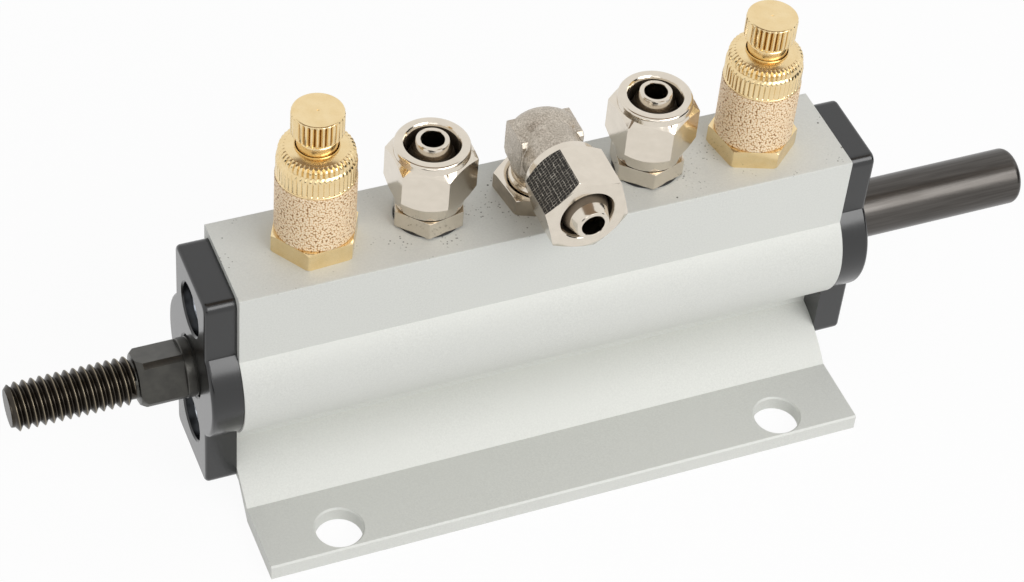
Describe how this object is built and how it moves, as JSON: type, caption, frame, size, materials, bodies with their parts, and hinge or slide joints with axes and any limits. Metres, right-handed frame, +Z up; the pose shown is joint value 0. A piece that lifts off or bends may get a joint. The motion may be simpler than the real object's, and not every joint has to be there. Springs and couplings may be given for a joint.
{
  "type": "manual air control valve",
  "caption": "Ported spool valve with a side mounting foot, sliding rod with a threaded stud, exhaust silencers, hose fittings and a swivel elbow.",
  "frame": {"origin": "middle of the two foot holes, on the underside of the foot", "axes": "+X along the spool rod from the threaded stud to the plain end, +Y from the foot towards the valve body, +Z up out of the ports"},
  "size_m": [0.1826, 0.039, 0.0755],
  "materials": {
    "anodised_aluminium": "bead blasted, clear anodised",
    "black_plastic": "moulded, glossy black",
    "seal_rubber": "smooth nitrile rubber",
    "zinc_steel": "bright zinc plate",
    "spacer_plastic": "natural acetal",
    "bush_bronze": "turned bronze",
    "black_steel": "black oxide, satin",
    "polished_brass": "turned and polished",
    "sintered_bronze": "sintered granules, matt",
    "nickel_plate": "nickel plated, bright",
    "clip_steel": "spring steel"
  },
  "bodies": {
    "valve": {"bore_seal_1": "seal_rubber", "bore_seal_2": "seal_rubber", "bore_seal_3": "seal_rubber", "bore_seal_4": "seal_rubber", "bore_seal_5": "seal_rubber", "bore_seal_6": "seal_rubber", "cap_screw_left_lower": "zinc_steel", "cap_screw_left_upper": "zinc_steel", "cap_screw_right_lower": "zinc_steel", "cap_screw_right_upper": "zinc_steel", "cap_seal_left": "seal_rubber", "cap_seal_right": "seal_rubber", "elbow_base": "nickel_plate", "elbow_clip": "clip_steel", "elbow_seal": "seal_rubber", "end_bush_left": "bush_bronze", "end_bush_right": "bush_bronze", "end_cap_left": "black_plastic", "end_cap_right": "black_plastic", "hose_fitting_left_body": "nickel_plate", "hose_fitting_left_seal": "seal_rubber", "hose_fitting_right_body": "nickel_plate", "hose_fitting_right_seal": "seal_rubber", "rod_wiper_left": "seal_rubber", "rod_wiper_right": "seal_rubber", "silencer_left_base": "polished_brass", "silencer_left_ring": "polished_brass", "silencer_left_sleeve": "sintered_bronze", "silencer_right_base": "polished_brass", "silencer_right_ring": "polished_brass", "silencer_right_sleeve": "sintered_bronze", "spacer_cage_1": "spacer_plastic", "spacer_cage_2": "spacer_plastic", "spacer_cage_3": "spacer_plastic", "spacer_cage_4": "spacer_plastic", "spacer_cage_5": "spacer_plastic", "valve_body": "anodised_aluminium"},
    "spool": {"spool_rod": "black_steel"},
    "left_adjust_seal": {"silencer_left_seal": "seal_rubber"},
    "left_adjust": {"silencer_left_screw": "polished_brass"},
    "left_nut": {"hose_fitting_left_nut": "nickel_plate"},
    "right_adjust_seal": {"silencer_right_seal": "seal_rubber"},
    "right_adjust": {"silencer_right_screw": "polished_brass"},
    "right_nut": {"hose_fitting_right_nut": "nickel_plate"},
    "elbow": {"elbow_body": "nickel_plate"},
    "elbow_nut": {"elbow_nut": "nickel_plate"}
  },
  "joints": [
    {"name": "spool_slide", "type": "slide", "parent": "valve", "child": "spool", "axis": [1, 0, 0], "range_m": [-0.0065, 0.0065]},
    {"name": "left_adjust_travel", "type": "slide", "parent": "valve", "child": "left_adjust_seal", "axis": [0, 0, 1], "range_m": [-0.00169, 0.0015]},
    {"name": "left_adjust_turn", "type": "hinge", "parent": "left_adjust_seal", "child": "left_adjust", "pos_m": [-0.0379, 0.0227, 0.048], "axis": [0, 0, 1], "range_deg": [-811, 721]},
    {"name": "right_adjust_travel", "type": "slide", "parent": "valve", "child": "right_adjust_seal", "axis": [0, 0, 1], "range_m": [-0.00169, 0.0015]},
    {"name": "right_adjust_turn", "type": "hinge", "parent": "right_adjust_seal", "child": "right_adjust", "pos_m": [0.0391, 0.0227, 0.048], "axis": [0, 0, 1], "range_deg": [-811, 721]},
    {"name": "left_nut_turn", "type": "hinge", "parent": "valve", "child": "left_nut", "pos_m": [-0.01865, 0.0227, 0.048], "axis": [0, 0, 1], "range_deg": [-120, 360]},
    {"name": "right_nut_turn", "type": "hinge", "parent": "valve", "child": "right_nut", "pos_m": [0.01985, 0.0227, 0.048], "axis": [0, 0, 1], "range_deg": [-120, 360]},
    {"name": "elbow_swivel", "type": "hinge", "parent": "valve", "child": "elbow", "pos_m": [0.0006, 0.0227, 0.048], "axis": [0, 0, 1], "range_deg": [-34, 34]},
    {"name": "elbow_nut_turn", "type": "hinge", "parent": "elbow", "child": "elbow_nut", "pos_m": [0.0006, 0.008, 0.0591], "axis": [0, -1, 0], "range_deg": [-120, 360]}
  ],
  "couplings": [
    {"joint": "left_adjust_turn", "follows": "left_adjust_travel", "rad_per_m": 8377.6},
    {"joint": "right_adjust_turn", "follows": "right_adjust_travel", "rad_per_m": 8377.6}
  ]
}
